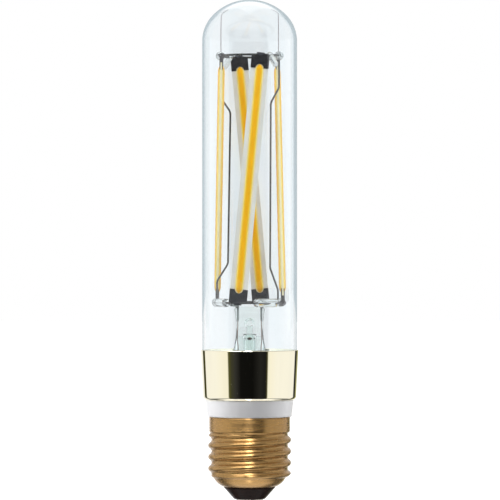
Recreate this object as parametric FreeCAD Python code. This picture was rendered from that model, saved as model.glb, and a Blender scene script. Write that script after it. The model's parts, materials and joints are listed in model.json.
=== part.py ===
import FreeCAD
import Part

import math
import os

from FreeCAD import Matrix, Placement, Rotation, Vector

# A tubular LED filament lamp with a clear glass tube and a 27 mm screw cap.
# Millimetres. The lamp's axis is Z, the cap is down and its contact ends at Z = 0.
# The front of the lamp looks along -Y. Angles are in degrees round Z from +X.

# Screw cap: contact, insulator and brass shell
contact_height = 1.0
contact_radius = 4.2
contact_flat_radius = 2.6
contact_rivet_radius = 1.6
contact_bore_radius = 0.55
contact_edge_height = 0.71
rivet_head_radius = 2.4
rivet_head_height = 0.5
insulator_height = 3.9
insulator_foot_radius = 4.9
insulator_shoulder = 0.75
insulator_land = 0.15
cap_hole_radius = 8.15
curl_height = 2.7
curl_top_radius = 11.3
curl_arc_radius = 5.6
thread_length = 14.85
thread_pitch = 3.629
thread_crest_radius = 13.15
thread_root_radius = 12.05
thread_start_angle = 236.0
thread_fade = 1.6
thread_runout = 0.7
rim_height = 4.55
rim_radius = 12.75
shell_wall = 0.3

# White neck ring between the cap and the collar
ring_height = 5.35
ring_top_step = 0.8
ring_foot_overhang = 0.55
ring_foot_bevel = 0.3
spigot_step = 1.2
spigot_wall = 2.5
upper_spigot_height = 4.0
lower_spigot_height = 3.0
board_slot_depth = 0.4

# Collar
collar_height = 15.85
collar_taper = 0.77
collar_corner_radius = 1.1
collar_wall = 0.4
collar_fit = 0.07

# Glass tube
tube_radius = 15.0
tube_wall = 0.95
dome_room = 17.8
crown_flattening = 1.3
knuckle_inset = 3.15
neck_step = 3.1
shoulder_radius = 3.0
shoulder_below_collar = 0.35
cement_height = 3.8

# Stem: flare, press and exhaust tube
flare_tube_radius = 5.3
flare_wall = 0.9
flare_tube_height = 4.6
press_rise = 13.6
press_length = 8.9
press_top_width = 9.6
press_foot_width = 8.7
press_top_thickness = 3.6
press_foot_thickness = 5.0
press_dome = 0.8
cavity_wedge_height = 4.3
cavity_top_thickness = 1.2
exhaust_radius = 2.0
exhaust_bore_radius = 1.2
exhaust_length = 19.0
exhaust_entry = 0.7
blow_hole_radius = 0.9
blow_hole_rise = 4.4
blow_hole_lip = 0.35
blow_hole_lip_rise = 0.22

# Lead wires
lead_spacing = 7.2
inner_lead_radius = 0.35
inner_lead_depth = 4.4
inner_lead_rise = 0.2
seal_lead_radius = 0.17
board_lead_spacing = 12.0
board_lead_straight = 1.0
board_lead_overlap = 3.0
lead_bend_radius = 1.2

# Wire rings that carry the filaments
lower_ring_rise = 1.3
filament_rise = 78.0
cage_room = 3.05
cage_taper = 1.6
ring_wire_radius = 0.35

# Filaments
lower_turn_angle = -19.5
upper_turn_angle = 21.5
strip_width = 5.4
strip_thickness = 0.5
clip_length = 4.3
clip_width = 5.6
clip_sheet = 0.22
clip_grip = 2.2
clip_foot_radius = 0.72
clip_foot_length = 2.2
phosphor_width = 2.4
phosphor_height = 0.85
phosphor_overlap = 1.3
chip_count = 24
chip_start = 2.0
chip_width = 0.5
chip_length = 0.9
chip_thickness = 0.18

# Glass beads and the support and brace wires
support_radius = 0.3
support_bend_radius = 3.0
upper_bead_radius = 1.45
drop_radius = 0.95
drop_length = 2.9
bridge_radius = 1.35
bridge_inset = 0.4
lower_bead_radius = 1.4
lower_bead_inset = 0.96
lower_bead_angle = 5.1
brace_radius = 0.16
brace_inset = 0.2
brace_start = 0.5
brace_reach = 2.3
brace_bend_radius = 0.8
drop_lean = 1.8
drop_turn_angle = 3.0

# Driver in the cap
board_thickness = 1.0
board_top_gap = 1.6
board_foot_gap = 3.5
board_side_gap = 1.0
package_drop = 6.3
capacitor_radius = 4.0
capacitor_height = 11.0
capacitor_edge = 0.6
capacitor_rise = 3.0
capacitor_leg_radius = 0.25
capacitor_leg_spacing = 2.5
capacitor_leg_root = 0.5
capacitor_leg_rise = 1.2
capacitor_leg_bend = 0.6
rectifier_size = (4.7, 2.5, 3.9)
rectifier_offset = 5.5
chip_package_size = (4.9, 1.5, 3.9)
chip_offset = -1.5
leg_length = 0.7
leg_width = 0.5
leg_thickness = 0.25
live_wire_offset = 2.5
live_wire_overlap = 6.0
live_wire_bend_height = 1.0
neutral_wire_offset = -5.0
neutral_wire_overlap = 7.0
neutral_wire_bend_drop = 2.0
neutral_wire_reach = 3.5
neutral_wire_gap = 0.4
neutral_wire_angle = 145.0
cap_wire_radius = 0.35

# Clearances
glass_fit = 0.05
metal_fit = 0.05
seat_fit = 0.05
strip_fit = 0.03
solder_fit = 0.02

# Radii that follow from the sizes above
crown_radius = tube_radius + crown_flattening
knuckle_radius = tube_radius - knuckle_inset
neck_radius = tube_radius - neck_step
collar_top_radius = tube_radius + collar_fit + collar_wall
collar_foot_radius = collar_top_radius - collar_taper
ring_top_radius = collar_foot_radius - ring_top_step
ring_foot_radius = rim_radius + ring_foot_overhang
upper_spigot_radius = collar_foot_radius - spigot_step
ring_bore_radius = upper_spigot_radius - spigot_wall
lower_ring_radius = tube_radius - tube_wall - cage_room
upper_ring_radius = lower_ring_radius - cage_taper

# Heights that follow from the sizes above
insulator_z = contact_height
shell_z = insulator_z + insulator_height
thread_z = shell_z + curl_height
rim_z = thread_z + thread_length
ring_z = rim_z + rim_height
collar_z = ring_z + ring_height
collar_top_z = collar_z + collar_height
neck_end_z = collar_z + upper_spigot_height + seat_fit
press_top_z = collar_top_z + press_rise
press_foot_z = press_top_z - press_length
lower_ring_z = press_top_z + lower_ring_rise
upper_ring_z = lower_ring_z + filament_rise
tube_top_z = upper_ring_z + dome_room
exhaust_foot_z = press_foot_z - exhaust_length
board_foot_z = thread_z + seat_fit + rivet_head_height + board_foot_gap
board_top_z = exhaust_foot_z - board_top_gap

# Where the arcs of wire start and end, and where the leads and beads meet them
LOWER_FRONT_ARC = (224.0, 283.0)
LOWER_RIGHT_ARC = (-39.0, 3.0)
LOWER_BACK_ARC = (60.0, 184.0)
UPPER_FRONT_ARC = (176.0, 348.0)
UPPER_BACK_ARC = (-4.0, 168.0)
LEFT_LEAD_ANGLE = 238.5
RIGHT_LEAD_ANGLE = -9.0
UPPER_BEAD_ANGLE = -8.0
DROP_ANGLE = 312.0
LEFT_BRIDGE = (226.0, 184.0)
RIGHT_BRIDGE = (283.0, 318.0)

# Routes of the support wires: angle, distance in from the ring's circle, and
# the drop below the upper ring or the rise above the lower ring
RIGHT_SUPPORT_TOP = ((-8, 0, 0), (-10, 0, 10.1), (-11, 2.6, 14.9))
RIGHT_SUPPORT_FOOT = ((3, 4.5, 10.9), (8.2, 1.9, 4.0), (8.2, 1.9, -0.3))
LEFT_SUPPORT_TOP = ((172, 0, 0), (170, 0, 13.0), (169, 3.2, 17.7))
LEFT_SUPPORT_FOOT = ((181, 4.15, 12.2), (190, 0.6, 6.8), (191, 0.5, -0.3))

# Share of the press's width, of its thickness and of the height of its rounded top
PRESS_CROWN = ((1.0, 1.0, 0.0), (0.94, 0.8, 0.6), (0.78, 0.4, 1.0))

# The screw shell is faceted this finely, which keeps within 0.04 mm of its true form
THREAD_ROWS_PER_PITCH = 8
THREAD_COLUMNS = 48
CURL_ROWS = 6
FLATNESS = 1e-6
SEW_TOLERANCE = 1e-4
CUT_MARGIN = 1.0
UP = Vector(0, 0, 1)
ORIGIN = Vector(0, 0, 0)
SIDES = ("front", "right", "back", "left")


# Helpers

def polar(radius, angle, z=0.0):
    turn = math.radians(angle)
    return Vector(radius * math.cos(turn), radius * math.sin(turn), z)


def profile_point(pair):
    return Vector(pair[0], 0, pair[1])


def outline(pieces):
    """A closed wire in the XZ plane from (r, z) points and ("arc", middle, end) steps."""
    edges = []
    here = profile_point(pieces[0])
    for piece in pieces[1:] + [pieces[0]]:
        if piece[0] == "arc":
            middle = profile_point(piece[1])
            end = profile_point(piece[2])
            edges.append(Part.Arc(here, middle, end).toShape())
            here = end
            continue
        end = profile_point(piece)
        if (end - here).Length > 1e-6:
            edges.append(Part.LineSegment(here, end).toShape())
        here = end
    return Part.Wire(edges)


def turned(pieces):
    """A solid turned round Z from a closed outline."""
    return Part.Face(outline(pieces)).revolve(ORIGIN, UP, 360)


def on_arc(centre, radius, degrees):
    turn = math.radians(degrees)
    return (centre[0] + radius * math.cos(turn), centre[1] + radius * math.sin(turn))


def arc_step(centre, radius, start, end):
    """An outline step that follows a circle from one angle to another."""
    middle = on_arc(centre, radius, (start + end) / 2)
    return ("arc", middle, on_arc(centre, radius, end))


def bent_path(points, bend):
    """Straight runs joined by tangent arcs, each no larger than its runs allow."""
    edges = []
    here = points[0]
    for before, corner, after in zip(points, points[1:], points[2:]):
        to_corner = corner - before
        from_corner = after - corner
        turn = to_corner.getAngle(from_corner)
        shorter = min(to_corner.Length, from_corner.Length)
        cut = min(bend * math.tan(turn / 2), 0.45 * shorter)
        start = corner - to_corner.normalize() * cut
        end = corner + from_corner.normalize() * cut
        inward = (start + end) * 0.5 - corner
        radius = cut / math.tan(turn / 2)
        centre_distance = radius / math.cos(turn / 2)
        middle = corner + inward.normalize() * (centre_distance - radius)
        edges.append(Part.LineSegment(here, start).toShape())
        edges.append(Part.Arc(start, middle, end).toShape())
        here = end
    edges.append(Part.LineSegment(here, points[-1]).toShape())
    return Part.Wire(edges)


def wire_along(points, radius, bend):
    """A round wire along a route."""
    path = bent_path(points, bend)
    circle = Part.Circle(points[0], points[1] - points[0], radius).toShape()
    return path.makePipeShell([Part.Wire(circle)], True, False)


def ring_arc(ring_radius, z, start, end):
    """A round wire bent to part of a ring, from one angle to another."""
    at = polar(ring_radius, start, z)
    along = polar(1, start + 90)
    circle = Part.Circle(at, along, ring_wire_radius).toShape()
    return Part.Face(Part.Wire(circle)).revolve(ORIGIN, UP, end - start)


def capsule(start, end, radius):
    """A rod with round ends, centred on two points."""
    along = end - start
    length = along.Length
    pieces = [
        (0, -radius),
        ("arc", on_arc((0, 0), radius, -45), (radius, 0)),
        (radius, length),
        ("arc", on_arc((0, length), radius, 45), (0, length + radius)),
    ]
    rod = turned(pieces)
    rod.Placement = Placement(start, Rotation(UP, along))
    return rod


def block(centre, size):
    corner = centre - Vector(*size) * 0.5
    return Part.makeBox(*size, corner)


def only_solid(shape):
    solids = shape.Solids
    return solids[0] if len(solids) == 1 else shape


# Cap

def curl_points(offset):
    """Start, middle and end of the shell's curled-in foot, moved inward by an offset."""
    start = (curl_top_radius - offset, thread_z)
    end = (cap_hole_radius, shell_z + offset)
    half = math.hypot(start[0] - end[0], start[1] - end[1]) / 2
    bulge = curl_arc_radius - math.sqrt(curl_arc_radius ** 2 - half ** 2)
    chord = (start[0] - end[0], start[1] - end[1])
    outward = (chord[1] / (2 * half), -chord[0] / (2 * half))
    middle = (
        (start[0] + end[0]) / 2 + outward[0] * bulge,
        (start[1] + end[1]) / 2 + outward[1] * bulge,
    )
    return start, middle, end


def smooth(share):
    share = min(max(share, 0.0), 1.0)
    return share * share * (3 - 2 * share)


def thread_radius(angle, height):
    """Radius of the rolled thread at an angle and a height above its foot."""
    base = thread_root_radius
    base += (curl_top_radius - thread_root_radius) * (1 - smooth(height / thread_runout))
    below_rim = thread_length - height
    base += (rim_radius - thread_root_radius) * (1 - smooth(below_rim / thread_runout))
    turns = height / thread_pitch - (angle - thread_start_angle) / 360
    from_crest = (turns - round(turns)) * thread_pitch
    depth = thread_crest_radius - thread_root_radius
    quarter = thread_pitch / 4
    knuckle = (depth ** 2 / 4 + quarter ** 2) / depth
    away = abs(from_crest)
    if away < quarter:
        rise = depth - knuckle + math.sqrt(knuckle ** 2 - away ** 2)
    else:
        rise = knuckle - math.sqrt(knuckle ** 2 - (2 * quarter - away) ** 2)
    fade = smooth(height / thread_fade) * smooth(below_rim / thread_fade)
    return base + rise * fade


def thread_point(angle, height, offset):
    """A point of the thread's skin, moved inward along the profile's normal."""
    radius = thread_radius(angle, height)
    step = 1e-3
    above = thread_radius(angle, height + step)
    below = thread_radius(angle, height - step)
    slope = (above - below) / (2 * step)
    normal = math.hypot(1, slope)
    return radius - offset / normal, thread_z + height + offset * slope / normal


def circle_centre(start, middle, end):
    circle = Part.Circle(*(profile_point(point) for point in (start, middle, end)))
    return (circle.Center.x, circle.Center.z)


def between_on_arc(centre, start, end, share):
    """A point on the shorter arc from one point to another."""
    first = math.atan2(start[1] - centre[1], start[0] - centre[0])
    last = math.atan2(end[1] - centre[1], end[0] - centre[0])
    radius = math.hypot(start[0] - centre[0], start[1] - centre[1])
    return on_arc(centre, radius, math.degrees(first + (last - first) * share))


def skin_profile(angle, offset):
    """Points of the shell's skin at one angle, from its foot to its rim."""
    start, middle, end = curl_points(offset)
    centre = circle_centre(start, middle, end)
    points = []
    for share in range(CURL_ROWS):
        points.append(between_on_arc(centre, end, start, share / CURL_ROWS))
    rows = round(THREAD_ROWS_PER_PITCH * thread_length / thread_pitch)
    points.append((curl_top_radius - offset, thread_z))
    for row in range(1, rows):
        points.append(thread_point(angle, thread_length * row / rows, offset))
    points.append((rim_radius - offset, rim_z))
    points.append((rim_radius - offset, ring_z))
    return points


def shell_lines(offset):
    """Points up the shell's skin, one line of them for each angle round the axis."""
    lines = []
    for column in range(THREAD_COLUMNS):
        angle = 360 * column / THREAD_COLUMNS
        lines.append([polar(r, angle, z) for r, z in skin_profile(angle, offset)])
    return lines


def flat_faces(a, b, c, d):
    """One flat face through four points, or two if they aren't in one plane."""
    normal = (b - a).cross(c - a).normalize()
    if abs(normal.dot(d - a)) < FLATNESS:
        return [Part.Face(Part.makePolygon([a, b, c, d, a]))]
    return [Part.Face(Part.makePolygon(list(corners))) for corners in ((a, b, c, a), (a, c, d, a))]


def make_cap_shell():
    """Brass shell: plain rim, rolled thread and curled-in foot, one thin wall."""
    outer = shell_lines(0)
    inner = shell_lines(shell_wall)
    loops = [out + back[::-1] for out, back in zip(outer, inner)]
    faces = []
    for first, second in zip(loops, loops[1:] + loops[:1]):
        for row in range(len(first)):
            faces += flat_faces(first[row - 1], second[row - 1], second[row], first[row])
    skin = Part.makeCompound(faces)
    skin.sewShape(SEW_TOLERANCE)
    solid = Part.Solid(skin.Shells[0])
    if solid.Volume < 0:
        solid.reverse()
    return solid


def make_insulator():
    """Black glass: the cone outside the shell and the plug fused inside it."""
    inner_start, inner_middle, inner_end = curl_points(shell_wall + metal_fit)
    hole = contact_rivet_radius + metal_fit
    waist = cap_hole_radius - metal_fit
    return turned([
        (hole, insulator_z),
        (insulator_foot_radius, insulator_z),
        (waist - insulator_shoulder, shell_z - insulator_shoulder),
        (waist, shell_z - insulator_land),
        (waist, inner_end[1]),
        (inner_end[0], inner_end[1]),
        ("arc", inner_middle, inner_start),
        (hole, thread_z),
    ])


def make_centre_contact():
    """Contact disc with a hollow rivet that is spread over the insulator."""
    edge = contact_height - seat_fit
    head_z = thread_z + seat_fit
    out = contact_radius - contact_flat_radius
    bend = (out ** 2 + contact_edge_height ** 2) / (2 * contact_edge_height)
    swing = math.degrees(math.atan2(contact_edge_height - bend, out))
    return turned([
        (0, 0),
        (contact_flat_radius, 0),
        arc_step((contact_flat_radius, bend), bend, -90, swing),
        (contact_radius, edge),
        (contact_rivet_radius, edge),
        (contact_rivet_radius, head_z),
        (rivet_head_radius, head_z),
        (rivet_head_radius, head_z + rivet_head_height),
        (contact_bore_radius, head_z + rivet_head_height),
        (contact_bore_radius, edge),
        (0, edge),
    ])


# Neck ring, collar and cement

def collar_radius(z):
    """Outside radius of the collar's tapered wall at a height."""
    share = (z - collar_z) / collar_height
    return collar_foot_radius + (collar_top_radius - collar_foot_radius) * share


def make_neck_ring():
    """White plastic ring: a spigot inside the collar and one inside the shell."""
    lower_radius = rim_radius - shell_wall - metal_fit
    foot_z = ring_z + seat_fit
    body = turned([
        (ring_bore_radius, ring_z - lower_spigot_height),
        (lower_radius, ring_z - lower_spigot_height),
        (lower_radius, foot_z),
        (ring_foot_radius - ring_foot_bevel, foot_z),
        (ring_foot_radius, foot_z + 2 * ring_foot_bevel),
        (ring_top_radius, collar_z),
        (upper_spigot_radius, collar_z),
        (upper_spigot_radius, collar_z + upper_spigot_height),
        (ring_bore_radius, collar_z + upper_spigot_height),
    ])
    slot_width = board_thickness + 2 * metal_fit
    slot_length = 2 * (ring_bore_radius + board_slot_depth)
    tall = upper_spigot_height + ring_height + lower_spigot_height
    middle_z = ring_z - lower_spigot_height + tall / 2
    slot = block(Vector(0, 0, middle_z), (slot_length, slot_width, tall + 2))
    return only_solid(body.cut(slot))


def make_collar():
    """Polished cup with a tapered wall and a turned-in foot."""
    foot_z = collar_z + seat_fit
    corner = collar_corner_radius
    outer_at_corner = collar_radius(foot_z + corner)
    centre = (outer_at_corner - corner, foot_z + corner)
    lip = upper_spigot_radius + metal_fit
    wall = collar_wall
    return turned([
        (lip, foot_z),
        (centre[0], foot_z),
        arc_step(centre, corner, -90, 0),
        (collar_top_radius, collar_top_z),
        (collar_top_radius - wall, collar_top_z),
        (outer_at_corner - wall, foot_z + corner),
        arc_step(centre, corner - wall, 0, -90),
        (lip, foot_z + wall),
    ])


def make_cement():
    """Ring of basing cement between the glass neck and the collar."""
    foot_z = neck_end_z
    top_z = neck_end_z + cement_height
    inner = neck_radius + glass_fit
    gap = collar_wall + glass_fit
    return turned([
        (inner, foot_z),
        (collar_radius(foot_z) - gap, foot_z),
        (collar_radius(top_z) - gap, top_z),
        (inner, top_z),
    ])


# Glass tube and stem

def make_glass_bulb():
    """Blown tube: domed top, straight wall and a narrowed neck, open below."""
    wall = tube_wall
    between = crown_radius - knuckle_radius
    knuckle_r = tube_radius - knuckle_radius
    crown_z = tube_top_z - crown_radius
    knuckle_z = crown_z + math.sqrt(between ** 2 - knuckle_r ** 2)
    meet = math.degrees(math.atan2(knuckle_z - crown_z, knuckle_r))
    knuckle = (knuckle_r, knuckle_z)
    crown = (0, crown_z)
    narrowing = tube_radius - neck_radius
    swing = math.degrees(math.acos(1 - narrowing / (2 * shoulder_radius)))
    upper = (tube_radius - shoulder_radius, collar_top_z - shoulder_below_collar)
    drop = 2 * shoulder_radius * math.sin(math.radians(swing))
    lower = (neck_radius + shoulder_radius, upper[1] - drop)
    return turned([
        (neck_radius - wall, neck_end_z),
        (neck_radius, neck_end_z),
        (neck_radius, lower[1]),
        arc_step(lower, shoulder_radius, 180, 180 - swing),
        arc_step(upper, shoulder_radius, -swing, 0),
        (tube_radius, knuckle_z),
        arc_step(knuckle, knuckle_radius, 0, meet),
        arc_step(crown, crown_radius, meet, 90),
        (0, tube_top_z - wall),
        arc_step(crown, crown_radius - wall, 90, meet),
        arc_step(knuckle, knuckle_radius - wall, meet, 0),
        (tube_radius - wall, upper[1]),
        arc_step(upper, shoulder_radius - wall, 0, -swing),
        arc_step(lower, shoulder_radius + wall, 180 - swing, 180),
    ])


def ellipse_wire(width, thickness, z):
    """A flat oval section of the press, wider along X."""
    ellipse = Part.Ellipse(Vector(0, 0, z), width / 2, thickness / 2)
    return Part.Wire(ellipse.toShape())


def make_stem_glass(lead_wires):
    """Flare, tube and flattened press in one piece of glass."""
    rim_radius_here = neck_radius - tube_wall - glass_fit
    sweep = rim_radius_here - flare_tube_radius
    arc_z = neck_end_z + sweep + flare_wall
    centre = (flare_tube_radius + sweep, arc_z)
    loft_z = arc_z + flare_tube_height
    bell = turned([
        (0, neck_end_z),
        (rim_radius_here, neck_end_z),
        (rim_radius_here, neck_end_z + flare_wall),
        arc_step(centre, sweep, 270, 180),
        (flare_tube_radius, loft_z),
        (0, loft_z),
    ])
    top_z = press_top_z - press_dome
    sections = [
        ellipse_wire(2 * flare_tube_radius, 2 * flare_tube_radius, loft_z),
        ellipse_wire(press_foot_width, press_foot_thickness, press_foot_z),
        ellipse_wire(press_top_width, press_top_thickness, top_z),
    ]
    press = Part.makeLoft(sections, True)
    rounded_top = [
        ellipse_wire(press_top_width * wide, press_top_thickness * thick, top_z + press_dome * up)
        for wide, thick, up in PRESS_CROWN
    ]
    crown = Part.makeLoft(rounded_top, True)
    body = bell.fuse([press, crown])
    cavity_radius = flare_tube_radius - flare_wall
    cavity_top = press_foot_z - exhaust_entry
    wedge_z = cavity_top - cavity_wedge_height
    round_cavity = turned([
        (0, neck_end_z),
        (rim_radius_here, neck_end_z),
        arc_step(centre, sweep + flare_wall, 270, 180),
        (cavity_radius, wedge_z),
        (0, wedge_z),
    ])
    pinched = [
        ellipse_wire(2 * cavity_radius, 2 * cavity_radius, wedge_z),
        ellipse_wire(press_foot_width - 2 * flare_wall, cavity_top_thickness, cavity_top),
    ]
    cavity = round_cavity.fuse(Part.makeLoft(pinched, True))
    hole_z = press_foot_z + blow_hole_rise - exhaust_entry
    bore = Part.makeCylinder(exhaust_bore_radius, hole_z - cavity_top, Vector(0, 0, cavity_top))
    seat = Part.makeCylinder(exhaust_radius, exhaust_length, Vector(0, 0, exhaust_foot_z))
    front = Vector(0, -1, 0)
    reach = press_foot_thickness / 2 + CUT_MARGIN
    hole = Part.makeCylinder(blow_hole_radius, reach, Vector(0, 0, hole_z), front)
    lip_centre = Vector(0, -press_top_thickness / 2 - blow_hole_lip_rise, hole_z)
    lip = Part.makeTorus(blow_hole_radius + blow_hole_lip, blow_hole_lip, lip_centre, front)
    ball = Part.makeSphere(exhaust_bore_radius, Vector(0, 0, hole_z))
    body = body.fuse(lip)
    body = body.cut([cavity, bore, seat, hole, ball] + lead_wires)
    return only_solid(body.removeSplitter())


def make_exhaust_tube():
    """Pumping tube: open at the press, sealed to a round tip in the cap."""
    foot = exhaust_foot_z
    centre = (0, foot + exhaust_radius)
    return turned([
        (0, foot),
        arc_step(centre, exhaust_radius, -90, 0),
        (exhaust_radius, press_foot_z),
        (exhaust_bore_radius, press_foot_z),
        (exhaust_bore_radius, foot + exhaust_radius),
        arc_step(centre, exhaust_bore_radius, 0, -90),
    ])


# Wires that carry current

def make_inner_lead(side, ring_angle, ring):
    """Thick lead: up out of the press, then out to the underside of its arc."""
    x = side * lead_spacing / 2
    foot_z = press_top_z - inner_lead_depth
    bend_z = press_top_z + inner_lead_rise
    end_z = lower_ring_z - ring_wire_radius - inner_lead_radius
    points = [
        Vector(x, 0, foot_z),
        Vector(x, 0, bend_z),
        polar(lower_ring_radius, ring_angle, end_z + solder_fit),
    ]
    return only_solid(wire_along(points, inner_lead_radius, lead_bend_radius).cut(ring))


def make_seal_lead(side):
    """Thin lead: on down through the press and the flare to the board."""
    x = side * lead_spacing / 2
    board_x = side * board_lead_spacing / 2
    y = board_thickness / 2 + seal_lead_radius + solder_fit
    points = [
        Vector(x, 0, press_top_z - inner_lead_depth),
        Vector(x, 0, press_foot_z - cavity_wedge_height),
        Vector(board_x, 0, neck_end_z),
        Vector(board_x, y, board_top_z + board_lead_straight),
        Vector(board_x, y, board_top_z - board_lead_overlap),
    ]
    return wire_along(points, seal_lead_radius, lead_bend_radius)


# Filaments

def filament_placement(index):
    """Local X across the strip, Y outward and Z up along it, from the lower ring."""
    mid_angle = -90 + 90 * index
    foot = polar(lower_ring_radius, mid_angle + lower_turn_angle, lower_ring_z)
    head = polar(upper_ring_radius, mid_angle + upper_turn_angle, upper_ring_z)
    along = (head - foot).normalize()
    outward = polar(1, mid_angle)
    outward = (outward - along * outward.dot(along)).normalize()
    across = outward.cross(along)
    matrix = Matrix(
        across.x, outward.x, along.x, foot.x,
        across.y, outward.y, along.y, foot.y,
        across.z, outward.z, along.z, foot.z,
        0, 0, 0, 1,
    )
    return Placement(matrix)


def filament_length():
    foot = polar(lower_ring_radius, lower_turn_angle, lower_ring_z)
    head = polar(upper_ring_radius, upper_turn_angle, upper_ring_z)
    return (head - foot).Length


def make_strip(length):
    inset = clip_length - clip_grip
    return block(Vector(0, 0, length / 2), (strip_width, strip_thickness, length - 2 * inset))


def phosphor_rod(length, margin):
    """A round-ended rod whose outer part is the phosphor bead."""
    half = phosphor_width / 2
    radius = (half ** 2 + phosphor_height ** 2) / (2 * phosphor_height)
    level = strip_thickness / 2 + phosphor_height - radius
    inset = clip_length - phosphor_overlap + radius
    start = Vector(0, level, inset)
    end = Vector(0, level, length - inset)
    return capsule(start, end, radius + margin)


def make_phosphor(length, face, chips):
    """The bead on one face of the strip, moulded over the chips there."""
    reach = phosphor_height + CUT_MARGIN
    keep = block(
        Vector(0, strip_thickness / 2 + reach / 2, length / 2),
        (strip_width, reach, length),
    )
    bead = phosphor_rod(length, 0).common(keep)
    if face < 0:
        bead.rotate(Vector(0, 0, length / 2), UP, 180)
    return only_solid(bead.cut(chips)) if chips else only_solid(bead)


def make_chips(length):
    """A row of chips on the strip's outer face."""
    first = clip_length + chip_start
    pitch = (length - 2 * first) / (chip_count - 1)
    y = (strip_thickness + chip_thickness) / 2
    size = (chip_width, chip_thickness, chip_length)
    return [block(Vector(0, y, first + pitch * i), size) for i in range(chip_count)]


def make_clip(length, at_top):
    """Folded end clip: two plates over the strip and a foot rolled round the ring wire."""
    thickness = strip_thickness + 2 * (strip_fit + clip_sheet)
    plates = block(Vector(0, 0, clip_length / 2), (clip_width, thickness, clip_length))
    slot_foot = clip_length - clip_grip - strip_fit
    slot_width = clip_width + 2 * CUT_MARGIN
    slot_size = (slot_width, strip_thickness + 2 * strip_fit, clip_grip + strip_fit + CUT_MARGIN)
    slot = block(Vector(0, 0, slot_foot + slot_size[2] / 2), slot_size)
    along = polar(1, -upper_turn_angle if at_top else lower_turn_angle)
    foot_end = along * (-clip_foot_length / 2)
    foot = Part.makeCylinder(clip_foot_radius, clip_foot_length, foot_end, along)
    clip = plates.cut(slot).fuse(foot)
    if at_top:
        clip.rotate(ORIGIN, Vector(0, 1, 0), 180)
        clip.translate(Vector(0, 0, length))
    outer = phosphor_rod(length, strip_fit)
    inner = outer.copy()
    inner.rotate(ORIGIN, UP, 180)
    return clip.cut([outer, inner])


def placed(shape, placement):
    moved = shape.copy()
    moved.Placement = placement.multiply(shape.Placement)
    return moved


def make_filament(index, lower_wires, upper_wires):
    """The pieces of one filament, each in its place."""
    placement = filament_placement(index)
    length = filament_length()
    chips = make_chips(length)
    bottom_clip = placed(make_clip(length, False), placement).cut(lower_wires)
    top_clip = placed(make_clip(length, True), placement).cut(upper_wires)
    return {
        "ceramic_strip": placed(make_strip(length), placement),
        "led_chips": placed(Part.makeCompound(chips), placement),
        "phosphor_outer": placed(make_phosphor(length, 1, chips), placement),
        "phosphor_inner": placed(make_phosphor(length, -1, []), placement),
        "bottom_clip": only_solid(bottom_clip),
        "top_clip": only_solid(top_clip),
    }


# Support wires, braces and glass beads

def make_support_wire(upper_route, lower_route):
    """Cranked wire between the rings, from (angle, distance in, height) steps."""
    points = [
        polar(upper_ring_radius - inward, angle, upper_ring_z - drop)
        for angle, inward, drop in upper_route
    ]
    points += [
        polar(lower_ring_radius - inward, angle, lower_ring_z + rise)
        for angle, inward, rise in lower_route
    ]
    return wire_along(points, support_radius, support_bend_radius)


def make_dome_brace(angle):
    """Thin spring wire from a bead up to the dome, turned in along the glass."""
    crown_z = tube_top_z - crown_radius
    rest = crown_radius - tube_wall - glass_fit - brace_radius
    foot = upper_ring_radius - brace_inset
    points = [polar(foot, angle, upper_ring_z + brace_start)]
    for share in (0, 0.5, 1):
        out = foot - brace_reach * share
        points.append(polar(out, angle, crown_z + math.sqrt(rest ** 2 - out ** 2)))
    return wire_along(points, brace_radius, brace_bend_radius)


def make_drop(angle):
    """Slanted glass drop that hangs on an upper wire."""
    start = polar(upper_ring_radius, angle, upper_ring_z)
    end = polar(upper_ring_radius + drop_lean, angle + drop_turn_angle, upper_ring_z - drop_length)
    return capsule(start, end, drop_radius)


def make_bridge(angles):
    """Glass rod that ties the ends of two lower arcs together."""
    circle = lower_ring_radius - bridge_inset
    start, end = (polar(circle, angle, lower_ring_z) for angle in angles)
    return capsule(start, end, bridge_radius)


# Driver

def board_front(z, x, depth):
    """The centre of something of a given depth on the board's front face."""
    return Vector(x, -(board_thickness / 2 + solder_fit + depth / 2), z)


def board_back(z, x, depth):
    return Vector(x, board_thickness / 2 + solder_fit + depth / 2, z)


def make_driver_board():
    """Circuit board: wide where the ring's slots hold it, narrower in the shell."""
    wide = ring_bore_radius + board_slot_depth - metal_fit
    narrow = thread_root_radius - shell_wall - board_side_gap
    step_z = ring_z - lower_spigot_height - seat_fit
    half = board_thickness / 2
    corners = [
        (-narrow, board_foot_z),
        (narrow, board_foot_z),
        (narrow, step_z),
        (wide, step_z),
        (wide, board_top_z),
        (-wide, board_top_z),
        (-wide, step_z),
        (-narrow, step_z),
    ]
    points = [Vector(x, -half, z) for x, z in corners]
    face = Part.Face(Part.makePolygon(points + points[:1]))
    return face.extrude(Vector(0, board_thickness, 0))


def make_package(centre, size, toward_board):
    """A moulded package with two legs on each side."""
    body = block(centre, size)
    legs = []
    for side in (-1, 1):
        for row in (-1, 1):
            at = centre + Vector(side * (size[0] / 2 + leg_length / 2), 0, row * size[2] / 4)
            at.y = centre.y + toward_board * (size[1] - leg_thickness) / 2
            legs.append(block(at, (leg_length, leg_thickness, leg_width)))
    return only_solid(body.fuse(legs))


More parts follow.
